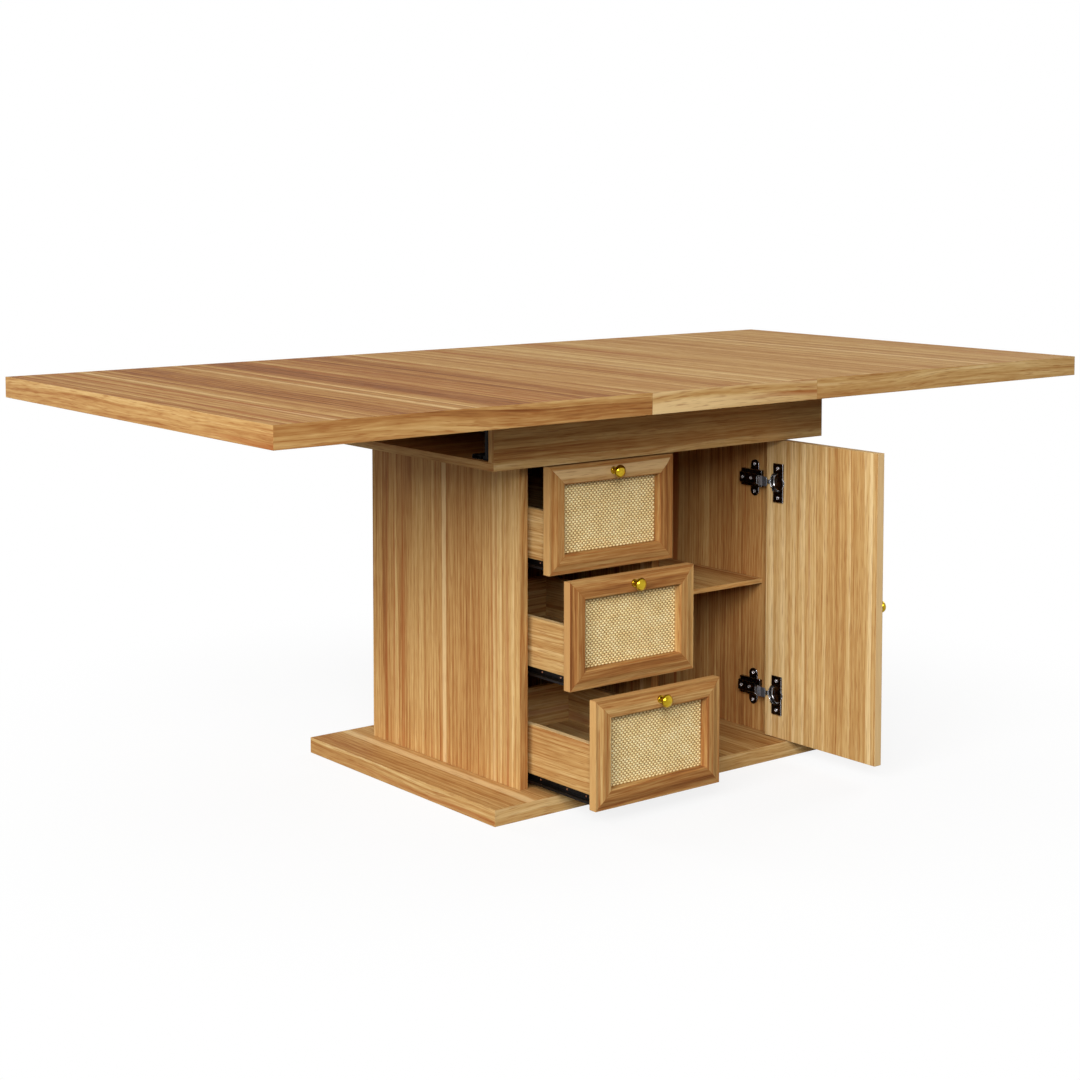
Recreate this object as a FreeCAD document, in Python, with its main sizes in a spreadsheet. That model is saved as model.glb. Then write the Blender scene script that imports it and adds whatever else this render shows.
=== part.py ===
import FreeCAD, Part
import os
import Sketcher

# Extending dining table on a storage pedestal: three rattan-fronted drawers beside a cupboard.
# Frame: origin on the floor under the middle of the top, +X along the length, -Y the drawer side, +Z up.
# The model stands as it is used with the drawers pulled out by different amounts and the door open square.

DRIVING_SIZES = {
    # table top, made of two end leaves and a loose middle leaf
    "top_length": 1900.0,
    "top_width": 950.0,
    "top_thickness": 38.0,
    "table_height": 760.0,
    "middle_leaf_length": 400.0,
    "seam_gap": 0.5,
    "leaf_pin_diameter": 8.0,
    "leaf_pin_length": 36.0,
    "leaf_pin_inset": 110.0,
    "leaf_pin_room": 0.4,
    # foot board
    "foot_length": 814.0,
    "foot_width": 600.0,
    "foot_thickness": 30.0,
    # cabinet box
    "cabinet_width": 642.0,
    "cabinet_depth": 470.0,
    "cabinet_offset": 19.5,
    "board_thickness": 18.0,
    "back_thickness": 6.0,
    "back_setback": 8.0,
    "back_groove_depth": 6.0,
    "groove_room": 0.2,
    # shelf behind the door
    "shelf_thickness": 9.0,
    "shelf_rise": 297.0,
    "shelf_setback": 23.0,
    "shelf_end_gap": 0.8,
    "shelf_rear_gap": 3.0,
    "shelf_pin_diameter": 5.0,
    "shelf_pin_length": 16.0,
    "shelf_pin_inset": 45.0,
    # tray under the top, which holds the leaf slides
    "tray_length": 804.0,
    "tray_width": 584.0,
    "tray_height": 101.0,
    "tray_board": 15.0,
    "slide_room": 0.3,
    # leaf slides: a T bar running in a lipped channel
    "channel_width": 24.0,
    "channel_wall": 1.5,
    "channel_slot": 11.0,
    "channel_end_gap": 10.0,
    "bar_foot_thickness": 4.0,
    "bar_foot_width": 18.0,
    "bar_stem_thickness": 8.0,
    "bar_plate_width": 28.0,
    "bar_plate_thickness": 3.0,
    "bar_end_gap": 8.0,
    "bar_meeting_gap": 40.0,
    "outer_slide_offset": 260.0,
    "inner_slide_offset": 228.0,
    # drawer fronts and door, with a raised frame round a woven inlay
    "front_thickness": 17.0,
    "drawer_front_gap": 1.5,
    "door_side_gap": 2.0,
    "front_height_gap": 2.5,
    "border_width": 6.0,
    "bevel_width": 11.0,
    "frame_rise": 3.0,
    "frame_width": 34.0,
    "inlay_depth": 18.5,
    "inlay_lip": 2.0,
    "inlay_thickness": 1.5,
    "inlay_room": 0.2,
    "door_frame_width": 50.0,
    "door_knob_inset": 24.0,
    # drawer boxes
    "drawer_side_thickness": 12.0,
    "drawer_side_height": 90.0,
    "drawer_side_lift": 21.5,
    "drawer_side_gap": 12.5,
    "drawer_box_depth": 400.0,
    "drawer_floor_thickness": 4.0,
    "drawer_floor_lift": 8.0,
    "drawer_floor_tongue": 5.0,
    "bottom_drawer_pull": 189.0,
    "middle_drawer_pull": 118.0,
    "top_drawer_pull": 60.0,
    # drawer runners: a bent strip under the drawer side, with a tongue held in a rail
    "runner_sheet": 1.5,
    "runner_drop": 13.0,
    "runner_tongue": 10.0,
    "runner_tongue_thickness": 4.0,
    "rail_flange_gap": 1.5,
    "rail_screw_flange": 14.0,
    "rail_setback": 1.0,
    # knobs
    "knob_cap_diameter": 23.5,
    "knob_cap_thickness": 15.0,
    "knob_neck_diameter": 9.0,
    "knob_collar_diameter": 14.0,
    "knob_collar_thickness": 3.5,
    "knob_reach": 18.0,
    # door hinges
    "hinge_axis_side": 1.0,
    "hinge_axis_front": 3.0,
    "hinge_end_inset": 84.0,
    "link_pin_inset": 23.5,
    "link_pin_setback": 12.0,
    "link_pin_diameter": 2.4,
    "link_pin_room": 0.08,
    "link_knuckle_diameter": 5.0,
    "link_length": 23.5,
    "link_thickness": 3.0,
    "link_root_width": 13.4,
    "link_tip_width": 8.0,
    "link_plate_start": 5.0,
    "link_plate_end": 19.0,
    "link_plate_width": 19.0,
    "arm_width": 20.0,
    "arm_fork": 14.2,
    "arm_nose_diameter": 6.0,
    "arm_neck_setback": 32.0,
    "arm_rear_setback": 76.0,
    "arm_depth": 7.0,
    "fork_reach": 8.0,
    "plate_thickness": 2.2,
    "plate_wing_width": 22.0,
    "plate_wing_length": 72.0,
    "plate_wing_setback": 34.0,
    "plate_block_length": 56.0,
    "plate_block_width": 33.0,
    "plate_block_height": 6.5,
    "plate_block_setback": 22.0,
    "cup_diameter": 40.0,
    "cup_wall": 1.5,
    "cup_depth": 11.5,
    "cup_inset": 28.0,
    "cup_flange_width": 26.0,
    "cup_flange_length": 76.0,
    "cup_flange_inset": 20.5,
    "cup_flange_thickness": 3.0,
    "cup_lip_reach": 3.1,
    "cup_lip_bite": 1.1,
    "cup_lip_height": 2.3,
    "cup_lip_width": 8.0,
    "screw_head_diameter": 7.0,
    "screw_head_height": 1.6,
    "screw_end_inset": 9.0,
    # how far every cutting shape reaches past the face it opens
    "cut_overrun": 2.0,
}

NOSE_SIDE_SHARE = 0.82
NOSE_FRONT_SHARE = 0.57

doc = FreeCAD.newDocument("storage_table")
sheet = doc.addObject("Spreadsheet::Sheet", "Sizes")
for row, (alias, length) in enumerate(DRIVING_SIZES.items(), start=1):
    sheet.set("A%d" % row, alias)
    sheet.set("B%d" % row, str(length))
    sheet.setAlias("B%d" % row, alias)
doc.recompute()


class Size:
    """A length worked out from the sheet: its formula, for binding, and its present value."""

    def __init__(self, formula, value):
        self.formula = formula
        self.value = value

    def __add__(self, other):
        return Size("(%s + %s)" % (self.formula, other.formula), self.value + other.value)

    def __sub__(self, other):
        return Size("(%s - %s)" % (self.formula, other.formula), self.value - other.value)

    def __mul__(self, share):
        return Size("(%s * %s)" % (self.formula, share), self.value * share)

    def __truediv__(self, share):
        return Size("(%s / %s)" % (self.formula, share), self.value / share)

    def __neg__(self):
        return Size("(-1 * %s)" % self.formula, -self.value)


def size(alias):
    return Size("Sizes." + alias, DRIVING_SIZES[alias])


ZERO = Size("0", 0.0)
X_AXIS = FreeCAD.Vector(1, 0, 0)
Y_AXIS = FreeCAD.Vector(0, 1, 0)
Z_AXIS = FreeCAD.Vector(0, 0, 1)
UNTURNED = FreeCAD.Rotation()
# turns that lay a section, drawn flat and raised along its normal, along X, or along Y from either end
ALONG_X = FreeCAD.Rotation(FreeCAD.Vector(1, 1, 1), 120)
TOWARDS_FRONT = FreeCAD.Rotation(X_AXIS, 90)
TOWARDS_REAR = FreeCAD.Rotation(Z_AXIS, 180).multiply(TOWARDS_FRONT)
# turns that point a cylinder's axis
POINT_X = FreeCAD.Rotation(Y_AXIS, 90)
POINT_FRONT = FreeCAD.Rotation(X_AXIS, 90)
DOOR_OPEN = FreeCAD.Rotation(Z_AXIS, 90)

nodes = []


def keep(label, shape):
    shape.Label = label
    nodes.append(shape)
    return shape


def bind(thing, prop, length):
    thing.setExpression(prop, length.formula)


def place(thing, at, turn=UNTURNED):
    thing.Placement = FreeCAD.Placement(FreeCAD.Vector(*[part.value for part in at]), turn)
    for axis, part in zip("xyz", at):
        bind(thing, "Placement.Base." + axis, part)
    return thing


def block(low, extent):
    box = doc.addObject("Part::Box", "block")
    for prop, length in zip(("Length", "Width", "Height"), extent):
        bind(box, prop, length)
    return place(box, low)


def rod(diameter, length, at, turn=UNTURNED):
    cylinder = doc.addObject("Part::Cylinder", "rod")
    bind(cylinder, "Radius", diameter / 2)
    bind(cylinder, "Height", length)
    return place(cylinder, at, turn)


def frustum(near, far, depth):
    """A solid between two upright rectangles, each (x0, x1, z0, z1): near at y = -depth, far at y = 0."""
    wedge = doc.addObject("Part::Wedge", "frustum")
    bind(wedge, "Ymin", -depth)
    bind(wedge, "Ymax", ZERO)
    for prop, length in zip(("Xmin", "Xmax", "Zmin", "Zmax"), near):
        bind(wedge, prop, length)
    for prop, length in zip(("X2min", "X2max", "Z2min", "Z2max"), far):
        bind(wedge, prop, length)
    return wedge


def cut(base, *tools):
    for tool in tools:
        result = doc.addObject("Part::Cut", "cut")
        result.Base = base
        result.Tool = tool
        base = result
    return base


def fuse(*shapes):
    result = doc.addObject("Part::MultiFuse", "fuse")
    result.Shapes = list(shapes)
    return result


def group(*shapes):
    result = doc.addObject("Part::Compound", "group")
    result.Links = list(shapes)
    return result


def section(points, length):
    """A body whose closed outline of straight edges is drawn on its XY plane and raised along Z."""
    body = doc.addObject("PartDesign::Body", "section")
    flat = [plane for plane in body.Origin.OriginFeatures if plane.Role == "XY_Plane"][0]
    sketch = body.newObject("Sketcher::SketchObject", "outline")
    sketch.AttachmentSupport = [(flat, "")]
    sketch.MapMode = "FlatFace"
    corners = [FreeCAD.Vector(across.value, up.value, 0) for across, up in points]
    count = len(corners)
    for index in range(count):
        sketch.addGeometry(Part.LineSegment(corners[index], corners[(index + 1) % count]))
    for index in range(count):
        sketch.addConstraint(Sketcher.Constraint("Coincident", index, 2, (index + 1) % count, 1))
    for index, (across, up) in enumerate(points):
        for kind, length_here in (("DistanceX", across), ("DistanceY", up)):
            number = sketch.addConstraint(Sketcher.Constraint(kind, -1, 1, index, 1, length_here.value))
            sketch.setExpression("Constraints[%d]" % number, length_here.formula)
    pad = body.newObject("PartDesign::Pad", "raise")
    pad.Profile = sketch
    bind(pad, "Length", length)
    body.Tip = pad
    return body


overrun = size("cut_overrun")

# levels, from the floor up
foot_top = size("foot_thickness")
top_underside = size("table_height") - size("top_thickness")
cabinet_top = top_underside - size("tray_height")
cabinet_height = cabinet_top - foot_top

# cabinet faces
board = size("board_thickness")
cabinet_left = size("cabinet_offset") - size("cabinet_width") / 2
cabinet_right = size("cabinet_offset") + size("cabinet_width") / 2
cabinet_front = -(size("cabinet_depth") / 2)
cabinet_rear = size("cabinet_depth") / 2
back_front = cabinet_rear - size("back_setback") - size("back_thickness")
bay_width = (size("cabinet_width") - board * 3) / 2
left_bay = cabinet_left + board
middle_board = left_bay + bay_width
right_bay = middle_board + board
right_bay_end = cabinet_right - board
front_width = bay_width - size("drawer_front_gap") * 2
front_height = (cabinet_height - size("front_height_gap") * 4) / 3
door_width = bay_width - size("door_side_gap") * 2
door_height = cabinet_height - size("front_height_gap") * 2

# place of the shelf
shelf_bottom = foot_top + size("shelf_rise")
shelf_front = cabinet_front + size("shelf_setback")
shelf_rear = back_front - size("shelf_rear_gap")
shelf_pin_rows = (shelf_front + size("shelf_pin_inset"), shelf_rear - size("shelf_pin_inset"))
shelf_pin_level = shelf_bottom - size("shelf_pin_diameter") / 2

# the line that the open door turns about, just in front of the cabinet's inner corner
hinge_x = right_bay_end + size("hinge_axis_side")
hinge_y = cabinet_front - size("hinge_axis_front")


def foot_board():
    half_length = size("foot_length") / 2
    half_width = size("foot_width") / 2
    plank = block((-half_length, -half_width, ZERO), (size("foot_length"), size("foot_width"), foot_top))
    keep("foot_board", plank)


def back_groove(inner_face, outward):
    """The slot in a side board that the back panel's edge stands in."""
    depth = size("back_groove_depth")
    low_x = inner_face - depth if outward else inner_face - overrun
    low = (low_x, back_front - size("groove_room"), foot_top - overrun)
    extent = (depth + overrun, size("back_thickness") + size("groove_room") * 2, cabinet_height + overrun * 2)
    return block(low, extent)


def shelf_pin_holes(start_x):
    half_length = size("shelf_pin_length") / 2
    deep = half_length + overrun
    return [rod(size("shelf_pin_diameter"), deep, (start_x, row, shelf_pin_level), POINT_X)
            for row in shelf_pin_rows]


def cabinet_boards():
    upright = (board, size("cabinet_depth"), cabinet_height)
    left = block((cabinet_left, cabinet_front, foot_top), upright)
    keep("left_side_board", cut(left, back_groove(left_bay, True)))

    right = block((right_bay_end, cabinet_front, foot_top), upright)
    holes = shelf_pin_holes(right_bay_end - overrun)
    keep("right_side_board", cut(right, back_groove(right_bay_end, False), *holes))

    depth = back_front - cabinet_front
    divider = block((middle_board, cabinet_front, foot_top), (board, depth, cabinet_height))
    half_pin = size("shelf_pin_length") / 2
    keep("middle_board", cut(divider, *shelf_pin_holes(right_bay - half_pin)))

    tongue = size("back_groove_depth") - size("groove_room")
    span = right_bay_end - left_bay + tongue * 2
    panel = block((left_bay - tongue, back_front, foot_top), (span, size("back_thickness"), cabinet_height))
    keep("back_panel", panel)


def shelf():
    gap = size("shelf_end_gap")
    low = (right_bay + gap, shelf_front, shelf_bottom)
    plank = block(low, (bay_width - gap * 2, shelf_rear - shelf_front, size("shelf_thickness")))
    keep("cupboard_shelf", plank)
    half_length = size("shelf_pin_length") / 2
    pins = []
    for start in (right_bay - half_length, right_bay_end - half_length):
        for row in shelf_pin_rows:
            at = (start, row, shelf_pin_level)
            pins.append(rod(size("shelf_pin_diameter"), size("shelf_pin_length"), at, POINT_X))
    keep("shelf_pins", group(*pins))


def tray():
    half_length = size("tray_length") / 2
    half_width = size("tray_width") / 2
    thick = size("tray_board")
    floor = block((-half_length, -half_width, cabinet_top), (size("tray_length"), size("tray_width"), thick))
    keep("tray_floor", floor)
    rail_height = size("tray_height") - thick - size("slide_room")
    for label, low_y in (("tray_front_rail", -half_width), ("tray_rear_rail", half_width - thick)):
        low = (-half_length, low_y, cabinet_top + thick)
        keep(label, block(low, (size("tray_length"), thick, rail_height)))


def leaf_pin_rows():
    reach = size("top_width") / 2 - size("leaf_pin_inset")
    return (-reach, ZERO, reach)


def leaf_board(label, start_x, length, hole_x):
    """One end board of the top, with blind holes in its inner edge for the seam pins."""
    low = (start_x, -(size("top_width") / 2), top_underside)
    plank = block(low, (length, size("top_width"), size("top_thickness")))
    diameter = size("leaf_pin_diameter") + size("leaf_pin_room") * 2
    deep = size("leaf_pin_length") / 2 + overrun
    middle = top_underside + size("top_thickness") / 2
    holes = [rod(diameter, deep, (hole_x, row, middle), POINT_X) for row in leaf_pin_rows()]
    keep(label, cut(plank, *holes))


def table_top():
    half_top = size("top_length") / 2
    half_leaf = size("middle_leaf_length") / 2
    gap = size("seam_gap")
    end_length = half_top - half_leaf - gap / 2
    pin_reach = size("leaf_pin_length") / 2
    leaf_board("left_leaf", -half_top, end_length, -(half_leaf + gap / 2 + pin_reach))
    leaf_board("right_leaf", half_leaf + gap / 2, end_length, half_leaf + gap / 2 - overrun)

    low = (-half_leaf + gap / 2, -(size("top_width") / 2), top_underside)
    extent = (size("middle_leaf_length") - gap, size("top_width"), size("top_thickness"))
    plank = block(low, extent)
    middle = top_underside + size("top_thickness") / 2
    diameter = size("leaf_pin_diameter")
    pin_length = size("leaf_pin_length")
    pins = []
    holes = []
    for start in (-half_leaf - pin_reach, half_leaf - pin_reach):
        for row in leaf_pin_rows():
            pins.append(rod(diameter, pin_length, (start, row, middle), POINT_X))
            holes.append(rod(diameter, pin_length, (start, row, middle), POINT_X))
    keep("middle_leaf", cut(plank, fuse(*holes)))
    keep("leaf_pins", group(*pins))


def leaf_slides():
    """Lipped channels on the tray floor, and the T bars under each end leaf that run in them."""
    room = size("slide_room")
    wall = size("channel_wall")
    half = size("channel_width") / 2
    slot = size("channel_slot") / 2
    foot = size("bar_foot_thickness")
    floor_top = cabinet_top + size("tray_board")
    inside = foot + room * 2
    lip_top = wall * 2 + inside
    channel_outline = [
        (-half, ZERO), (half, ZERO), (half, lip_top), (slot, lip_top), (slot, lip_top - wall),
        (half - wall, lip_top - wall), (half - wall, wall), (wall - half, wall),
        (wall - half, lip_top - wall), (-slot, lip_top - wall), (-slot, lip_top), (-half, lip_top),
    ]
    foot_half = size("bar_foot_width") / 2
    stem_half = size("bar_stem_thickness") / 2
    foot_level = wall + room
    stem_top = top_underside - floor_top - size("bar_plate_thickness")
    bar_outline = [
        (-foot_half, foot_level), (foot_half, foot_level), (foot_half, foot_level + foot),
        (stem_half, foot_level + foot), (stem_half, stem_top), (-stem_half, stem_top),
        (-stem_half, foot_level + foot), (-foot_half, foot_level + foot),
    ]
    half_tray = size("tray_length") / 2
    channel_length = size("tray_length") - size("channel_end_gap") * 2
    bar_length = half_tray - size("bar_end_gap") - size("bar_meeting_gap") / 2
    leaf_edge = size("middle_leaf_length") / 2 + size("seam_gap") / 2 + size("bar_end_gap")
    plate_length = half_tray - size("bar_end_gap") - leaf_edge
    half_plate = size("bar_plate_width") / 2
    plate_level = top_underside - size("bar_plate_thickness")
    plate_extent = (plate_length, size("bar_plate_width"), size("bar_plate_thickness"))
    left_start = size("bar_end_gap") - half_tray
    sides = (
        ("left", size("outer_slide_offset"), left_start, left_start),
        ("right", size("inner_slide_offset"), size("bar_meeting_gap") / 2, leaf_edge),
    )
    channels = []
    for side, offset, bar_start, plate_start in sides:
        bars = []
        for row in (-offset, offset):
            channel = section(channel_outline, channel_length)
            channels.append(place(channel, (size("channel_end_gap") - half_tray, row, floor_top), ALONG_X))
            bar = place(section(bar_outline, bar_length), (bar_start, row, floor_top), ALONG_X)
            plate = block((plate_start, row - half_plate, plate_level), plate_extent)
            bars.append(fuse(bar, plate))
        keep(side + "_leaf_slide_bars", group(*bars))
    keep("leaf_channels", group(*channels))


def moulded_front(width, height, frame):
    """A front with a flat border, a bevel up to a raised frame, and a lipped recess for the inlay."""
    plate = block((ZERO, ZERO, ZERO), (width, size("front_thickness"), height))
    border = size("border_width")
    raised = border + size("bevel_width")
    lip = frame - size("inlay_lip")
    rise = size("frame_rise")
    far = (border, width - border, border, height - border)
    near = (raised, width - raised, raised, height - raised)
    field = frustum(near, far, rise)
    recess_extent = (width - frame * 2, size("inlay_depth") + overrun, height - frame * 2)
    recess = block((frame, -rise - overrun, frame), recess_extent)
    lip_near = (lip, width - lip, lip, height - lip)
    lip_far = (frame, width - frame, frame, height - frame)
    lip_cut = place(frustum(lip_near, lip_far, size("inlay_lip")), (ZERO, size("inlay_lip") - rise, ZERO))
    return cut(fuse(plate, field), recess, lip_cut)


def inlay_corner(front_edge, frame):
    return front_edge + frame + size("inlay_room")


def inlay_face(front_y):
    return front_y + size("inlay_depth") - size("frame_rise") - size("inlay_thickness")


def woven_inlay(width, height, frame):
    edge = frame + size("inlay_room")
    return block((ZERO, ZERO, ZERO), (width - edge * 2, size("inlay_thickness"), height - edge * 2))


def knob():
    """A rounded cap on a short neck and a collar, reaching along -Y from its own origin."""
    collar = rod(size("knob_collar_diameter"), size("knob_collar_thickness"), (ZERO, ZERO, ZERO), POINT_FRONT)
    neck = rod(size("knob_neck_diameter"), size("knob_reach"), (ZERO, ZERO, ZERO), POINT_FRONT)
    cap = doc.addObject("Part::Ellipsoid", "cap")
    bind(cap, "Radius1", size("knob_cap_thickness") / 2)
    bind(cap, "Radius2", size("knob_cap_diameter") / 2)
    bind(cap, "Radius3", size("knob_cap_diameter") / 2)
    place(cap, (ZERO, -size("knob_reach"), ZERO), POINT_FRONT)
    return fuse(collar, neck, cap)


def runner_pair(front_y, rear_y, outline, length, walls):
    """The same section along both sides of a drawer, the second one facing the other way."""
    left_x, right_x, level = walls
    left = place(section(outline, length), (left_x, rear_y, level), TOWARDS_FRONT)
    right = place(section(outline, length), (right_x, front_y, level), TOWARDS_REAR)
    return group(left, right)


def drawer(name, tier, pull):
    front_low = foot_top + size("front_height_gap") + (front_height + size("front_height_gap")) * tier
    front_left = left_bay + size("drawer_front_gap")
    front_y = cabinet_front - pull
    frame = size("frame_width")
    face = moulded_front(front_width, front_height, frame)
    keep(name + "_front", place(face, (front_left, front_y, front_low)))
    inlay_at = (inlay_corner(front_left, frame), inlay_face(front_y), inlay_corner(front_low, frame))
    keep(name + "_rattan", place(woven_inlay(front_width, front_height, frame), inlay_at))
    knob_at = (front_left + front_width / 2, front_y - size("frame_rise"),
               front_low + front_height - frame / 2)
    keep(name + "_knob", place(knob(), knob_at))

    gap = size("drawer_side_gap")
    side = size("drawer_side_thickness")
    box_front = front_y + size("front_thickness")
    depth = size("drawer_box_depth")
    box_low = front_low + size("drawer_side_lift")
    box_left = left_bay + gap
    box_right = left_bay + bay_width - gap
    floor_level = box_low + size("drawer_floor_lift")
    floor_thick = size("drawer_floor_thickness")
    tongue = size("drawer_floor_tongue")
    room = size("groove_room")
    inner_left = box_left + side
    inner_right = box_right - side
    for label, low_x, groove_x in (("_left_side", box_left, inner_left - tongue - room),
                                   ("_right_side", inner_right, inner_right - overrun)):
        plank = block((low_x, box_front, box_low), (side, depth, size("drawer_side_height")))
        groove_low = (groove_x, box_front - overrun, floor_level)
        groove = block(groove_low, (tongue + room + overrun, depth + overrun * 2, floor_thick))
        keep(name + label, cut(plank, groove))
    floor_extent = (inner_right - inner_left + tongue * 2, depth, floor_thick)
    keep(name + "_floor", block((inner_left - tongue, box_front, floor_level), floor_extent))
    back_low = floor_level + floor_thick
    back_height = size("drawer_side_height") - size("drawer_floor_lift") - floor_thick
    back_at = (inner_left, box_front + depth - side, back_low)
    keep(name + "_back", block(back_at, (inner_right - inner_left, side, back_height)))

    sheet_thick = size("runner_sheet")
    drop = size("runner_drop")
    tongue_top = size("runner_tongue_thickness") - drop
    reach = size("runner_tongue")
    runner_outline = [
        (side, ZERO), (ZERO, ZERO), (ZERO, tongue_top), (-reach, tongue_top), (-reach, -drop),
        (sheet_thick, -drop), (sheet_thick, -sheet_thick), (side, -sheet_thick),
    ]
    keep(name + "_runners", runner_pair(box_front, box_front + depth, runner_outline, depth,
                                        (box_left, box_right, box_low)))
    slide = size("slide_room")
    lower = -drop - slide
    upper = tongue_top + slide
    lip = -size("rail_flange_gap")
    rail_outline = [
        (-gap, lower - sheet_thick), (lip, lower - sheet_thick), (lip, lower), (sheet_thick - gap, lower),
        (sheet_thick - gap, upper), (lip, upper), (lip, upper + sheet_thick),
        (sheet_thick - gap, upper + sheet_thick), (sheet_thick - gap, upper + size("rail_screw_flange")),
        (-gap, upper + size("rail_screw_flange")),
    ]
    rail_front = cabinet_front + size("front_thickness") + size("rail_setback")
    keep(name + "_rails", runner_pair(rail_front, rail_front + depth, rail_outline, depth,
                                      (box_left, box_right, box_low)))


def opened(across, behind, level):
    """A point of the shut door, carried to where it is with the door turned square about its hinge line."""
    return (hinge_x - (behind - hinge_y), hinge_y + (across - hinge_x), level)


def door():
    low_z = foot_top + size("front_height_gap")
    free_edge = right_bay + size("door_side_gap")
    hinge_edge = right_bay_end - size("door_side_gap")
    inner_face = cabinet_front + size("front_thickness")
    frame = size("door_frame_width")
    cup_x = door_width - size("cup_inset")
    bores = []
    for level in (size("hinge_end_inset"), door_height - size("hinge_end_inset")):
        at = (cup_x, size("front_thickness") + overrun, level)
        bores.append(rod(size("cup_diameter"), size("cup_depth") + overrun, at, POINT_FRONT))
    panel = cut(moulded_front(door_width, door_height, frame), *bores)
    keep("door_panel", place(panel, opened(free_edge, cabinet_front, low_z), DOOR_OPEN))
    inlay_at = opened(inlay_corner(free_edge, frame), inlay_face(cabinet_front), inlay_corner(low_z, frame))
    keep("door_rattan", place(woven_inlay(door_width, door_height, frame), inlay_at, DOOR_OPEN))
    knob_at = opened(free_edge + size("door_knob_inset"), cabinet_front - size("frame_rise"),
                     low_z + door_height / 2)
    keep("door_knob", place(knob(), knob_at, DOOR_OPEN))

    screws = []
    for name, level in hinge_levels():
        keep(name + "_hinge_cup", place(hinge_cup(), opened(hinge_edge, inner_face, level), DOOR_OPEN))
        wing = size("cup_flange_length") / 2 - size("screw_end_inset")
        screw_x = hinge_edge - size("cup_flange_inset") - size("cup_flange_width") / 2
        face = inner_face + size("cup_flange_thickness") + size("screw_head_height")
        for rise in (-wing, wing):
            height = size("screw_head_height")
            head = rod(size("screw_head_diameter"), height, (ZERO, ZERO, ZERO), POINT_FRONT)
            turned = doc.addObject("Part::Compound", "screw_head")
            turned.Links = [head]
            screws.append(place(turned, opened(screw_x, face, level + rise), DOOR_OPEN))
    keep("cup_screws", group(*screws))


def hinge_levels():
    low_z = foot_top + size("front_height_gap")
    return (("lower", low_z + size("hinge_end_inset")),
            ("upper", low_z + door_height - size("hinge_end_inset")))


def hinge_cup():
    """A cup with an eared flange and a lip that the link lies over, from the hinge edge and inner face."""
    outer_diameter = size("cup_diameter")
    inner_diameter = outer_diameter - size("cup_wall") * 2
    centre = -size("cup_inset")
    shell = rod(outer_diameter, size("cup_depth"), (centre, ZERO, ZERO), POINT_FRONT)
    half = size("cup_flange_length") / 2
    ears_at = (-size("cup_flange_inset") - size("cup_flange_width"), ZERO, -half)
    ears = block(ears_at, (size("cup_flange_width"), size("cup_flange_thickness"), size("cup_flange_length")))
    mouth = size("cup_flange_thickness") + overrun
    hollow_depth = size("cup_depth") - size("cup_wall") + mouth
    hollow = rod(inner_diameter, hollow_depth, (centre, mouth, ZERO), POINT_FRONT)
    rim = centre + outer_diameter / 2
    lip_at = (rim - size("cup_lip_bite"), ZERO, -(size("cup_lip_width") / 2))
    lip_length = size("cup_lip_bite") + size("cup_lip_reach")
    lip = block(lip_at, (lip_length, size("cup_lip_height"), size("cup_lip_width")))
    return fuse(cut(fuse(shell, ears), hollow), lip)


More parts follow.
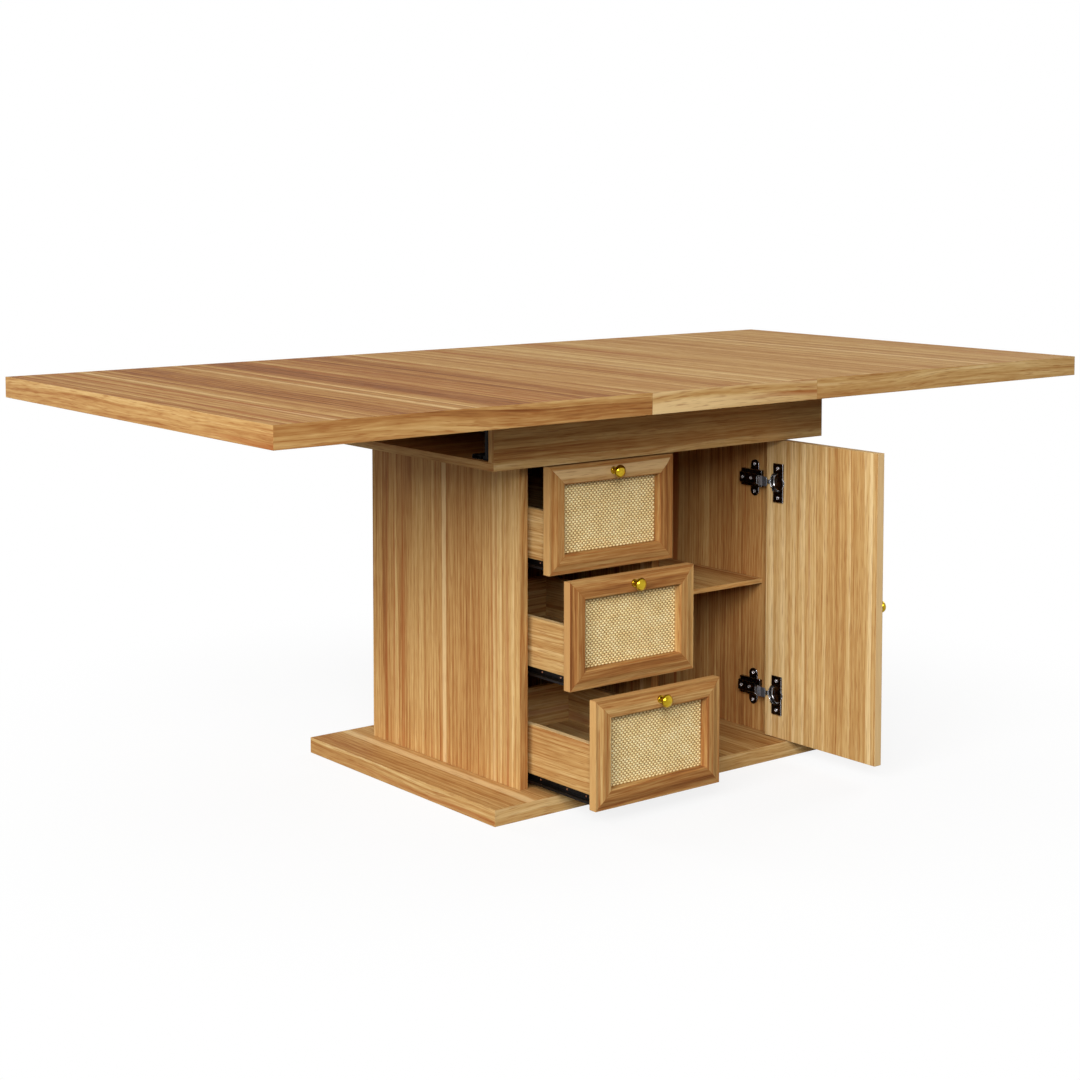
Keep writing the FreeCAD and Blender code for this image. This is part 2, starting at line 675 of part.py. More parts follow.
def hinge_fittings():
    """On the cabinet side of each hinge: a cross plate, a cranked arm with a forked nose, and its pin."""
    pin_x = right_bay_end - size("link_pin_inset")
    pin_y = cabinet_front + size("link_pin_setback")
    pins = []
    screws = []
    for name, level in hinge_levels():
        wing_length = size("plate_wing_length")
        wing_y = cabinet_front + size("plate_wing_setback")
        thick = size("plate_thickness")
        wing_width = size("plate_wing_width")
        wing_middle = wing_y + wing_width / 2
        straight = wing_length - wing_width
        wings = block((right_bay_end - thick, wing_y, level - straight / 2), (thick, wing_width, straight))
        round_ends = [rod(wing_width, thick, (right_bay_end - thick, wing_middle, level + end), POINT_X)
                      for end in (-(straight / 2), straight / 2)]
        block_width = size("plate_block_width")
        spine_height = size("plate_block_height")
        spine_front = cabinet_front + size("plate_block_setback")
        spine = block((right_bay_end - spine_height, spine_front, level - block_width / 2),
                      (spine_height, size("plate_block_length"), block_width))
        keep(name + "_hinge_plate", fuse(wings, spine, *round_ends))
        for rise in (size("screw_end_inset") - wing_length / 2, wing_length / 2 - size("screw_end_inset")):
            at = (right_bay_end - thick - size("screw_head_height"), wing_middle, level + rise)
            screws.append(rod(size("screw_head_diameter"), size("screw_head_height"), at, POINT_X))

        near = -size("plate_block_height")
        far = near - size("arm_depth")
        neck = size("arm_neck_setback")
        rear = size("arm_rear_setback")
        nose = size("arm_nose_diameter") / 2
        pin_in = -size("link_pin_inset")
        pin_back = size("link_pin_setback")
        arm_outline = [
            (near, rear), (near, neck),
            (pin_in + nose * NOSE_SIDE_SHARE, pin_back - nose * NOSE_FRONT_SHARE),
            (pin_in - nose * NOSE_SIDE_SHARE, pin_back + nose * NOSE_FRONT_SHARE),
            (far, neck), (far, rear),
        ]
        arm_low = level - size("arm_width") / 2
        strip = place(section(arm_outline, size("arm_width")), (right_bay_end, cabinet_front, arm_low))
        round_nose = rod(size("arm_nose_diameter"), size("arm_width"), (pin_x, pin_y, arm_low))
        reach = size("fork_reach")
        fork = block((pin_x - reach, pin_y - reach, level - size("arm_fork") / 2),
                     (reach * 2, reach * 2, size("arm_fork")))
        bore = rod(size("link_pin_diameter"), size("arm_width"), (pin_x, pin_y, arm_low))
        keep(name + "_hinge_arm", cut(fuse(strip, round_nose), fork, bore))
        pins.append(rod(size("link_pin_diameter"), size("arm_width"), (pin_x, pin_y, arm_low)))

        root = size("link_root_width")
        link_thick = size("link_thickness")
        link_low_x = pin_x - link_thick / 2
        stretches = ((ZERO, size("link_plate_start"), root),
                     (size("link_plate_start"), size("link_plate_end"), size("link_plate_width")),
                     (size("link_plate_end"), size("link_length"), size("link_tip_width")))
        tongue = [block((link_low_x, pin_y - end, level - width / 2), (link_thick, end - start, width))
                  for start, end, width in stretches]
        knuckle = rod(size("link_knuckle_diameter"), root, (pin_x, pin_y, level - root / 2))
        eye = rod(size("link_pin_diameter") + size("link_pin_room") * 2, root + overrun * 2,
                  (pin_x, pin_y, level - root / 2 - overrun))
        keep(name + "_hinge_link", cut(fuse(knuckle, *tongue), eye))
    keep("hinge_pins", group(*pins))
    keep("plate_screws", group(*screws))


foot_board()
cabinet_boards()
shelf()
tray()
table_top()
leaf_slides()
drawer("bottom_drawer", 0, size("bottom_drawer_pull"))
drawer("middle_drawer", 1, size("middle_drawer_pull"))
drawer("top_drawer", 2, size("top_drawer_pull"))
door()
hinge_fittings()
doc.recompute()

for thing in doc.Objects:
    if "Invalid" in thing.State or "Error" in thing.State:
        raise RuntimeError("%s did not build: %s" % (thing.Label, thing.State))
for node in nodes:
    if node.Shape.isNull() or not node.Shape.isValid():
        raise RuntimeError("%s has no valid shape" % node.Label)

os.makedirs("parts", exist_ok=True)
for node in nodes:
    node.Shape.exportStep("parts/%s.step" % node.Label)
print(len(nodes), "pieces written")
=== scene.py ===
import math

import bmesh
import bpy
import numpy as np
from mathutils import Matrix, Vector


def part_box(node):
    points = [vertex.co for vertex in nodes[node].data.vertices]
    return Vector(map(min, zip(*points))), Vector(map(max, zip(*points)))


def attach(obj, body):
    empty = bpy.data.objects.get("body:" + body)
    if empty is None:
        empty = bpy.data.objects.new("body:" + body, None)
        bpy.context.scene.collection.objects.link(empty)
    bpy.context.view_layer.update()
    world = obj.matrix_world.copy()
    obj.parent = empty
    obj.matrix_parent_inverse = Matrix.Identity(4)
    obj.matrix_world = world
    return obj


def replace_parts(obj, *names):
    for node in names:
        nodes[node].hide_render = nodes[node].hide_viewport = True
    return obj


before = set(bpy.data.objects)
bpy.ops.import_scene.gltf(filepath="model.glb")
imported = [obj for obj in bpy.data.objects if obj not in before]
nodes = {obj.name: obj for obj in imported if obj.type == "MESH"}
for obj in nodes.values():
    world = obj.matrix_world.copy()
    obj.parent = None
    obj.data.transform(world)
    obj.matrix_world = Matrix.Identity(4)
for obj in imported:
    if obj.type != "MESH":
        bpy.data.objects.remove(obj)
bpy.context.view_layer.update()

upward = np.array([0.0, 0.0, 1.0])
drawers = ("bottom_drawer", "middle_drawer", "top_drawer")
levels = ("lower", "upper")  # of the two hinges
print("frame loaded:", len(nodes), "nodes")


# a colour picked in sRGB 0-255, given to the shader as linear light
def tint(red, green, blue):
    share = np.array([red, green, blue]) / 255.0
    linear = np.where(share <= 0.04045, share / 12.92, ((share + 0.055) / 1.055) ** 2.4)
    return (*linear.tolist(), 1.0)


# one output socket; arithmetic on it adds Math nodes to its own material
class Wire:
    def __init__(self, finish, socket):
        self.finish = finish
        self.socket = socket

    def calc(self, operation, first, second=0.0):
        return self.finish.node("ShaderNodeMath", {"operation": operation}, {0: first, 1: second})

    def __add__(self, other):
        return self.calc("ADD", self, other)

    def __radd__(self, other):
        return self.calc("ADD", other, self)

    def __sub__(self, other):
        return self.calc("SUBTRACT", self, other)

    def __rsub__(self, other):
        return self.calc("SUBTRACT", other, self)

    def __mul__(self, other):
        return self.calc("MULTIPLY", self, other)

    def __rmul__(self, other):
        return self.calc("MULTIPLY", other, self)

    def __lt__(self, other):
        return self.calc("LESS_THAN", self, other)

    def __gt__(self, other):
        return self.calc("GREATER_THAN", self, other)

    def __abs__(self):
        return self.calc("ABSOLUTE", self)

    def floor(self):
        return self.calc("FLOOR", self)

    def most(self, other):
        return self.calc("MAXIMUM", self, other)

    def least(self, other):
        return self.calc("MINIMUM", self, other)

    # smooth step from 0 at low to 1 at high; works downwards too
    def rise(self, low, high):
        return self.finish.node("ShaderNodeMapRange", {"interpolation_type": "SMOOTHSTEP"},
                                {0: self, 1: low, 2: high, 3: 0.0, 4: 1.0})


edgeSamples = 4  # rays that smooth a rounded edge


# the node tree of one material, or of an owner that is given, such as the world
class Finish:
    def __init__(self, name, owner=None):
        self.owner = owner or bpy.data.materials.new(name)
        self.owner.use_nodes = True
        self.tree = self.owner.node_tree
        self.tree.nodes.clear()

    # any node: its type, its settings (set first) and its sockets, as values or wires
    def node(self, kind, settings=None, sockets=None, out=0):
        made = self.tree.nodes.new(kind)
        for key, value in (settings or {}).items():
            if key == "stops":
                ramp = made.color_ramp
                while len(ramp.elements) < len(value):
                    ramp.elements.new(1.0)
                for element, (place, colour) in zip(ramp.elements, value):
                    element.position = place
                    element.color = colour
            else:
                setattr(made, key, value)
        for key, value in (sockets or {}).items():
            if isinstance(value, Wire):
                self.tree.links.new(value.socket, made.inputs[key])
            else:
                made.inputs[key].default_value = value
        return Wire(self, made.outputs[out]) if made.outputs else None

    def objectPoint(self):
        return self.node("ShaderNodeTexCoord", out="Object")

    def split(self, point):
        return [self.node("ShaderNodeSeparateXYZ", None, {0: point}, axis) for axis in range(3)]

    def join(self, first, second, third):
        return self.node("ShaderNodeCombineXYZ", None, {0: first, 1: second, 2: third})

    # cloud noise of a point stretched by a factor on each axis
    def cloud(self, point, stretch, shift=(0.0, 0.0, 0.0), detail=2.0, roughness=0.5):
        moved = self.node("ShaderNodeVectorMath", {"operation": "MULTIPLY_ADD"},
                          {0: point, 1: stretch, 2: shift})
        return self.node("ShaderNodeTexNoise", None,
                         {"Vector": moved, "Scale": 1.0, "Detail": detail, "Roughness": roughness})

    # one chance value between 0 and 1 for each whole number
    def chance(self, number):
        return self.node("ShaderNodeTexWhiteNoise", {"noise_dimensions": "1D"}, {"W": number})

    def mixColour(self, share, first, second):
        return self.node("ShaderNodeMix", {"data_type": "RGBA"}, {0: share, 6: first, 7: second}, 2)

    def mixPoint(self, share, first, second):
        return self.node("ShaderNodeMix", {"data_type": "VECTOR"}, {0: share, 4: first, 5: second}, 1)

    def ramp(self, value, stops):
        return self.node("ShaderNodeValToRGB", {"stops": stops}, {0: value})

    # normal that turns smoothly over an edge, as if the edge were rounded
    def softEdge(self, radius):
        return self.node("ShaderNodeBevel", {"samples": edgeSamples}, {"Radius": radius})

    def bump(self, height, strength, distance, normal=None):
        sockets = {"Strength": strength, "Distance": distance, "Height": height}
        if normal is not None:
            sockets["Normal"] = normal
        return self.node("ShaderNodeBump", None, sockets)

    # 1 for rays that show a surface to the eye: straight from the camera, or by way of gloss or glass
    def seen(self):
        straight = self.node("ShaderNodeLightPath", out="Is Camera Ray")
        glossy = self.node("ShaderNodeLightPath", out="Is Glossy Ray")
        through = self.node("ShaderNodeLightPath", out="Is Transmission Ray")
        return straight.most(glossy).most(through)

    def surface(self, sockets):
        shader = self.node("ShaderNodeBsdfPrincipled", None, sockets)
        self.node("ShaderNodeOutputMaterial", None, {0: shader})
        return self.owner


# wood: colours of the ramp from dark to pale with where on the ramp they sit, how much each layer adds,
# between which noise values a kind of line appears, and the surface
wood = {
    "ramp": [(0.10, tint(120, 70, 36)), (0.32, tint(161, 111, 61)), (0.50, tint(184, 141, 85)),
             (0.68, tint(202, 165, 108)), (0.92, tint(224, 195, 143))],
    "pale": tint(228, 198, 146), "redLine": tint(152, 80, 36), "pore": tint(136, 72, 30),
    "middle": 0.45, "bands": 0.62, "streaks": 0.44, "lines": 0.66, "fibres": 0.5,
    "paleShare": 0.62, "redShare": 0.5, "poreShare": 0.42, "mitreShare": 0.6, "paintedLightBandShare": 0.7,
    "paleRise": (0.665, 0.70), "redRise": (0.56, 0.68),
    "redPlaceRise": (0.46, 0.62), "poreRise": (0.56, 0.70),
    "drift": 0.01, "fineDrift": 0.0022, "rings": 22.0, "ringStep": 0.22, "ringSpread": 3.0,
    "easedEdge": 0.0012, "fibreRelief": 0.4, "poreRelief": 0.8, "bumpStrength": 0.16, "bumpDistance": 0.0006,
    "roughness": 0.58, "roughStep": 0.12, "specular": 0.03,
}
# noise of each layer: its stretch along the grain, across it and in depth, where it starts and how fine it is
woodNoise = {
    "wander": {"stretch": (1.3, 5.0, 5.0), "detail": 2.0},
    "fineWander": {"stretch": (7.0, 30.0, 30.0), "shift": (3.0, 1.0, 7.0), "detail": 1.0},
    "bands": {"stretch": (0.3, 9.0, 9.0), "shift": (1.0, 5.0, 2.0), "detail": 1.0},
    "spacing": {"stretch": (0.12, 7.0, 7.0), "shift": (6.0, 2.0, 8.0), "detail": 1.0},
    "streaks": {"stretch": (0.7, 62.0, 62.0), "shift": (4.0, 2.0, 9.0), "detail": 3.0, "roughness": 0.62},
    "lines": {"stretch": (2.4, 170.0, 170.0), "shift": (8.0, 7.0, 5.0), "detail": 2.0},
    "fibres": {"stretch": (16.0, 380.0, 380.0), "shift": (2.0, 8.0, 3.0), "detail": 2.0, "roughness": 0.6},
    "pale": {"stretch": (0.1, 26.0, 26.0), "shift": (7.0, 3.0, 1.0), "detail": 1.0},
    "red": {"stretch": (0.9, 75.0, 75.0), "shift": (9.0, 6.0, 4.0), "detail": 2.0},
    "redPlace": {"stretch": (0.4, 13.0, 13.0), "shift": (2.0, 9.0, 6.0), "detail": 0.0},
    "pores": {"stretch": (26.0, 620.0, 620.0), "shift": (5.0, 4.0, 8.0), "detail": 1.0},
}


# wood colour and relief from a point (along the grain, across it, depth), in metres.
# Rings are a saw tooth across the grain, crisp on one side and fading on the other, each of its own strength.
# Noise stretched along the grain adds broad bands, streaks, lines, fine fibres, pale and red lines and short
# pores; a slow sideways drift added to the across coordinate makes all of them wander.
def woodSurface(finish, along, across, depth, tone=0.0, drift=wood["drift"], rings=wood["rings"],
                ringStep=wood["ringStep"], red=wood["redShare"], mitre=None, band=None, paintedLightBandTint=None):
    start = finish.join(along, across, depth)
    wander = finish.cloud(start, **woodNoise["wander"]) - 0.5
    fineWander = finish.cloud(start, **woodNoise["fineWander"]) - 0.5
    line = across + wander * drift + fineWander * wood["fineDrift"]
    point = finish.join(along, line, depth)

    def noise(layer):
        return finish.cloud(point, **woodNoise[layer])

    turns = line * rings + noise("spacing") * wood["ringSpread"]
    ring = turns.floor()
    fade = 1.0 - (turns - ring)
    bands = noise("bands") - 0.5
    streaks = noise("streaks") - 0.5
    lines = noise("lines") - 0.5
    fibres = noise("fibres") - 0.5
    level = (wood["middle"] + tone + bands * wood["bands"] + fade * fade * finish.chance(ring) * ringStep
             + streaks * wood["streaks"] + lines * wood["lines"] + fibres * wood["fibres"])
    colour = finish.ramp(level, wood["ramp"])
    paleLine = noise("pale").rise(*wood["paleRise"])
    colour = finish.mixColour(paleLine * wood["paleShare"], colour, wood["pale"])
    redLine = noise("red").rise(*wood["redRise"]) * noise("redPlace").rise(*wood["redPlaceRise"])
    colour = finish.mixColour(redLine * red, colour, wood["redLine"])
    pore = noise("pores").rise(*wood["poreRise"])
    colour = finish.mixColour(pore * wood["poreShare"], colour, wood["pore"])
    if mitre is not None:
        colour = finish.mixColour(mitre * wood["mitreShare"], colour, wood["redLine"])
    # banded edges take the band tint, partly the banding's own tone and partly painted light
    if band is not None:
        colour = finish.mixColour(band * wood["paintedLightBandShare"], colour, paintedLightBandTint)
    relief = fibres * wood["fibreRelief"] - pore * wood["poreRelief"]
    bump = finish.bump(relief, wood["bumpStrength"], wood["bumpDistance"], finish.softEdge(wood["easedEdge"]))
    roughness = wood["roughness"] + streaks * wood["roughStep"] + pore * wood["roughStep"]
    return finish.surface({"Base Color": colour, "Roughness": roughness, "Normal": bump,
                           "Specular IOR Level": wood["specular"]})


def setMaterial(name, material):
    slots = nodes[name].material_slots
    for slot in slots:
        slot.link = "DATA"
        slot.material = material
    if not slots:
        nodes[name].data.materials.append(material)


# boards: axis the grain runs along, other axis of the broad face, a tone step, and other layers if any
plainGrain = {}
drawerGrain = {"rings": 75.0, "ringStep": -0.26, "drift": 0.03}
leafGrain = {"ringStep": 0.36, "red": 0.7}
bayGrain = {"ringStep": 0.16, "red": 0.8, "seedShift": 3.1}
boards = {
    "foot_board": ("y", "x", 0.03, plainGrain), "left_side_board": ("z", "y", 0.0, plainGrain),
    "right_side_board": ("z", "y", -0.06, bayGrain), "middle_board": ("z", "y", -0.02, plainGrain),
    "back_panel": ("z", "x", -0.02, plainGrain), "cupboard_shelf": ("y", "x", 0.0, plainGrain),
    "tray_floor": ("x", "y", 0.0, plainGrain), "tray_front_rail": ("x", "z", -0.06, plainGrain),
    # leaves: darker on the left and paler on the right, painted shade on the left leaf and a painted sheen on
    # the right
    "tray_rear_rail": ("x", "z", 0.0, plainGrain), "left_leaf": ("y", "x", -0.10, leafGrain),
    "middle_leaf": ("y", "x", -0.01, leafGrain), "right_leaf": ("y", "x", 0.03, leafGrain),
}
# drawer boxes: painted paler than the carcass, painted light that lifts the shade inside the drawers
for drawer in drawers:
    boards[drawer + "_left_side"] = ("y", "z", 0.14, drawerGrain)
    boards[drawer + "_right_side"] = ("y", "z", 0.2, drawerGrain)
    boards[drawer + "_back"] = ("x", "z", 0.2, drawerGrain)
    boards[drawer + "_floor"] = ("y", "x", 0.15, plainGrain)
# each board starts at its own place in the figure; narrow faces are paler, with a wavier figure
boardLook = {"seedStep": 0.37, "depthShare": 0.35, "edgeShare": 0.8, "edgeTone": 0.07, "edgeDrift": 0.045,
             "edgeReach": 0.00015}


# a board's grain runs along its length, and along the edge on the banded faces across its ends
def boardFinish(name, order):
    alongAxis, sideAxis, tone, layers = boards[name]
    layers = {"drift": wood["drift"], **layers}
    seed = boardLook["seedStep"] * order + layers.pop("seedShift", 0.0)
    finish = Finish(name + "_wood")
    axes = dict(zip("xyz", finish.split(finish.objectPoint())))
    thickAxis = ({"x", "y", "z"} - {alongAxis, sideAxis}).pop()
    low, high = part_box(name)

    def atFace(letter):
        index = "xyz".index(letter)
        middle, half = (low[index] + high[index]) / 2, (high[index] - low[index]) / 2
        return abs(axes[letter] - middle) > half - boardLook["edgeReach"]

    atEnd, atSide = atFace(alongAxis), atFace(sideAxis)
    narrow = atEnd.most(atSide)
    inDepth = axes[thickAxis] * boardLook["depthShare"] + seed
    overEdge = axes[thickAxis] * boardLook["edgeShare"] + seed
    broad = finish.join(axes[alongAxis] + seed, axes[sideAxis] + seed, inDepth)
    sideFace = finish.join(axes[alongAxis] + seed, overEdge, axes[sideAxis])
    endFace = finish.join(axes[sideAxis] + seed, overEdge, axes[alongAxis])
    point = finish.mixPoint(atSide, finish.mixPoint(atEnd, broad, endFace), sideFace)
    along, across, depth = finish.split(point)
    layers["drift"] = layers["drift"] + narrow * boardLook["edgeDrift"]
    return woodSurface(finish, along, across, depth, tone=tone + narrow * boardLook["edgeTone"], **layers)


for order, boardName in enumerate(boards):
    setMaterial(boardName, boardFinish(boardName, order))
print("boards:", len(boards), "with grain")


# fronts: rails and stiles meet in mitres, told apart by which edge of the front is nearer; outer edges are
# banded, the band's tone partly its own and partly painted light, and behind a given place the door is one
# plain board
# band tints: paler on the door's edge, which the lamps light less, and darker on the drawers' edges, which
# they light more: painted light and painted shade over the banding's own tone
drawerFront = {"across": "x", "face": "y", "tone": -0.07, "band": tint(199, 155, 97), "layers": {}}
doorFront = {"across": "y", "face": "x", "tone": 0.08, "band": tint(228, 194, 142), "plainBehind": 0.3045,
             "layers": {"rings": 38.0, "ringStep": 0.42, "red": 0.9}}
fronts = {drawer + "_front": drawerFront for drawer in drawers}
fronts["door_panel"] = doorFront
frontLook = {"drift": 0.02, "mitreRise": (0.0007, 0.0002), "paintedLightBandReach": 0.0002, "depthShare": 0.5,
             "seedStart": 5.0, "seedStep": 0.41, "railSeed": 2.0}


def frontFinish(name, order):
    front = fronts[name]
    finish = Finish(name + "_wood")
    axes = dict(zip("xyz", finish.split(finish.objectPoint())))
    low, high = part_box(name)
    index = "xyz".index(front["across"])
    side = axes[front["across"]]
    fromSide = (high[index] - low[index]) / 2 - abs(side - (high[index] + low[index]) / 2)
    fromEnd = (high[2] - low[2]) / 2 - abs(axes["z"] - (high[2] + low[2]) / 2)
    stile = fromSide < fromEnd
    mitre = abs(fromSide - fromEnd).rise(*frontLook["mitreRise"])
    if "plainBehind" in front:
        plain = axes[front["face"]] < front["plainBehind"]
        stile = stile.most(plain)
        mitre = mitre * (1.0 - plain)
    # mask of the banded edges, which carry the band tint with its painted light
    paintedLightBanded = fromSide.least(fromEnd) < frontLook["paintedLightBandReach"]
    seed = frontLook["seedStep"] * order + frontLook["seedStart"]
    inDepth = axes[front["face"]] * frontLook["depthShare"] + seed
    upright = finish.join(axes["z"] + seed, side + seed, inDepth)
    level = finish.join(side + seed * frontLook["railSeed"], axes["z"] + seed, inDepth)
    along, across, depth = finish.split(finish.mixPoint(stile, level, upright))
    return woodSurface(finish, along, across, depth, tone=front["tone"], drift=frontLook["drift"],
                       mitre=mitre, band=paintedLightBanded, paintedLightBandTint=front["band"], **front["layers"])


for order, frontName in enumerate(fronts):
    setMaterial(frontName, frontFinish(frontName, order))
print("fronts:", len(fronts), "mitred")


# metals: polish varies slowly and carries a fine brushed or cast relief; some take a pale colour on their
# edges as a painted highlight, and the hinge link is painted darker past a line: painted shade standing in
# for a bend, as the plate itself stays flat
metals = {
    "brass": {"colour": tint(190, 160, 40), "dull": tint(158, 126, 22), "roughness": 0.05, "relief": 0.02,
              "edge": 0.0004},
    # black nickel: its pale edge colour is a painted highlight, a glint along the edges
    "blackNickel": {"colour": tint(96, 91, 88), "dull": tint(62, 58, 56), "roughness": 0.18, "relief": 0.05,
                    "edge": 0.0016, "paintedEdgeGlint": tint(214, 216, 222)},
    # steel link: its darker second colour is painted shade past a line, and its pale edge colour a painted
    # highlight
    "steel": {"colour": tint(178, 182, 190), "dull": tint(140, 145, 155), "roughness": 0.2, "relief": 0.06,
              "edge": 0.0010, "metallic": 0.6, "paintedEdgeGlint": tint(250, 250, 252), "paintedFoldShade": tint(104, 107, 114)},
    "chrome": {"colour": tint(138, 136, 136), "dull": tint(92, 90, 90), "roughness": 0.06, "relief": 0.02,
               "edge": 0.0004},
    "brightSteel": {"colour": tint(224, 223, 226), "dull": tint(160, 159, 162), "roughness": 0.08,
                    "relief": 0.03, "edge": 0.0003, "metallic": 0.85},
    "blackSheet": {"colour": tint(34, 31, 30), "dull": tint(24, 22, 21), "roughness": 0.42, "relief": 0.08,
                   "edge": 0.0004},
    # leaf slides: matt near black, painted dark as painted shade for the dark inside of the tray
    "slidePaintedShade": {"colour": tint(26, 24, 22), "dull": tint(17, 16, 15), "roughness": 0.66, "relief": 0.08,
                   "edge": 0.0004, "metallic": 0.0, "specular": 0.08},
    "copperZinc": {"colour": tint(186, 136, 108), "dull": tint(150, 100, 76), "roughness": 0.25,
                   "relief": 0.04, "edge": 0.0002},
}
metalLook = {
    "patch": {"stretch": (90.0, 90.0, 90.0), "detail": 3.0}, "patchRise": (0.38, 0.72), "patchRough": 0.08,
    "grain": {"stretch": (1400.0, 1400.0, 300.0), "shift": (2.0, 3.0, 4.0), "detail": 2.0},
    "grainRough": 0.05, "grainDepth": 0.0003, "paintedEdgeGlintRise": (0.02, 0.2), "paintedShadeSetback": 0.014,
    "metallic": 1.0, "specular": 0.5,
}
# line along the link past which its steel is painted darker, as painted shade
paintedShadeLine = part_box("lower_hinge_link")[1][1] - metalLook["paintedShadeSetback"]


def metalFinish(name):
    metal = metals[name]
    finish = Finish(name)
    point = finish.objectPoint()
    patch = finish.cloud(point, **metalLook["patch"])
    grain = finish.cloud(point, **metalLook["grain"])
    colour = finish.mixColour(patch.rise(*metalLook["patchRise"]), metal["colour"], metal["dull"])
    roughness = metal["roughness"] + patch * metalLook["patchRough"] + grain * metalLook["grainRough"]
    softEdge = finish.softEdge(metal["edge"])
    # painted shade: the link is darker past its line
    if "paintedFoldShade" in metal:
        colour = finish.mixColour(finish.split(point)[1] < paintedShadeLine, colour, metal["paintedFoldShade"])
    if "paintedEdgeGlint" in metal:  # painted highlight: edges take a pale colour as a painted glint; an edge is where the softened normal leans away from the face's own
        flat = finish.node("ShaderNodeNewGeometry", out="Normal")
        level = finish.node("ShaderNodeVectorMath", {"operation": "DOT_PRODUCT"},
                            {0: softEdge, 1: flat}, "Value")
        colour = finish.mixColour((1.0 - level).rise(*metalLook["paintedEdgeGlintRise"]), colour, metal["paintedEdgeGlint"])
    bump = finish.bump(grain, metal["relief"], metalLook["grainDepth"], softEdge)
    return finish.surface({"Base Color": colour, "Roughness": roughness, "Normal": bump,
                           "Metallic": metal.get("metallic", metalLook["metallic"]),
                           "Specular IOR Level": metal.get("specular", metalLook["specular"])})


metalMaterials = {name: metalFinish(name) for name in metals}
metalNodes = {
    "brass": [drawer + "_knob" for drawer in drawers] + ["door_knob"],
    "blackNickel": [level + "_hinge_" + part for part in ("plate", "cup", "arm") for level in levels],
    "steel": [level + "_hinge_link" for level in levels],
    "brightSteel": ["cup_screws", "plate_screws", "hinge_pins"],
    "blackSheet": [drawer + part for part in ("_runners", "_rails") for drawer in drawers],
    # slide bars and channels take the painted shade finish
    "slidePaintedShade": ["left_leaf_slide_bars", "right_leaf_slide_bars", "leaf_channels"],
}
for metalName, members in metalNodes.items():
    for member in members:
        setMaterial(member, metalMaterials[metalName])

# turned beech pins: pale wood with the grain along the pin, finer across it
pinLook = {"tone": 0.22, "fineness": 2.0}
pinFinish = Finish("beechPin")
pinX, pinY, pinZ = pinFinish.split(pinFinish.objectPoint())
woodSurface(pinFinish, pinX, pinY * pinLook["fineness"], pinZ * pinLook["fineness"], tone=pinLook["tone"])
for pinName in ("leaf_pins", "shelf_pins"):
    setMaterial(pinName, pinFinish.owner)
print("metals and pins: done")


# woven inlay: plain weave of flat strands, each over one and under the next; a strand's section is
# five points, given as shares of its half width and of its thickness
weave = {
    "pitch": 0.0041, "halfWidth": {"weft": 0.0019, "warp": 0.0014}, "thick": 0.0008, "swing": 0.0006,
    "stepsPerCrossing": 3, "side": (-1.0, -0.55, 0.55, 1.0, 0.0), "bulge": (0.35, 0.95, 0.95, 0.35, 0.0),
    "flowHalf": 0.4,
}
straw = {
    "weft": [(0.30, tint(228, 192, 124)), (0.48, tint(252, 232, 172)), (0.66, tint(255, 246, 204))],
    "warp": [(0.30, tint(138, 100, 48)), (0.5, tint(178, 140, 80)), (0.68, tint(206, 172, 108))],
    "fibre": {"stretch": (60.0, 11.0, 1.0), "detail": 3.0, "roughness": 0.6}, "fibreShare": 0.6,
    "blotch": {"stretch": (38.0, 38.0, 38.0), "detail": 2.0}, "blotchShare": 0.3, "strandShare": 0.06,
    "rim": tint(120, 82, 38), "rimRise": (0.26, 0.42), "rimShare": 0.5,
    "bumpStrength": 0.4, "bumpDistance": 0.0003, "roughness": 0.56, "roughStep": 0.16,
}
backing = {
    "ramp": [(0.35, tint(70, 46, 18)), (0.7, tint(100, 70, 30))],
    "mottle": {"stretch": (420.0, 420.0, 420.0), "detail": 2.0}, "roughness": 0.7, "roughStep": 0.1,
}
inlays = {drawer + "_rattan": (drawer, "x") for drawer in drawers}  # body it rides and axis across it
inlays["door_rattan"] = ("door", "y")
mergeReach = 1e-7  # points nearer than this are one


# a mesh object from arrays of points and four-cornered faces, with one UV pair for each point;
# points that lie together, as at a pole, are merged where asked, caps are flat faces of many corners,
# and edges that turn by more than the sharp angle stay crisp
def meshPiece(name, points, faces, uv, material, merge=False, caps=(), sharp=None):
    mesh = bpy.data.meshes.new(name)
    mesh.from_pydata(points.reshape(-1, 3), [], faces.reshape(-1, 4).tolist() + [list(cap) for cap in caps])
    layer = mesh.uv_layers.new(name="flow")
    corner = np.empty(len(mesh.loops), dtype=np.int32)
    mesh.loops.foreach_get("vertex_index", corner)
    layer.data.foreach_set("uv", uv.reshape(-1, 2)[corner].astype(np.float32).ravel())
    mesh.polygons.foreach_set("use_smooth", np.ones(len(mesh.polygons), dtype=bool))
    if merge:
        joined = bmesh.new()
        joined.from_mesh(mesh)
        bmesh.ops.remove_doubles(joined, verts=joined.verts, dist=mergeReach)
        joined.to_mesh(mesh)
        joined.free()
    mesh.validate()
    mesh.update()
    piece = bpy.data.objects.new(name, mesh)
    bpy.context.scene.collection.objects.link(piece)
    mesh.materials.append(material)
    if sharp is not None:
        mesh.set_sharp_from_angle(angle=math.radians(sharp))
    return piece


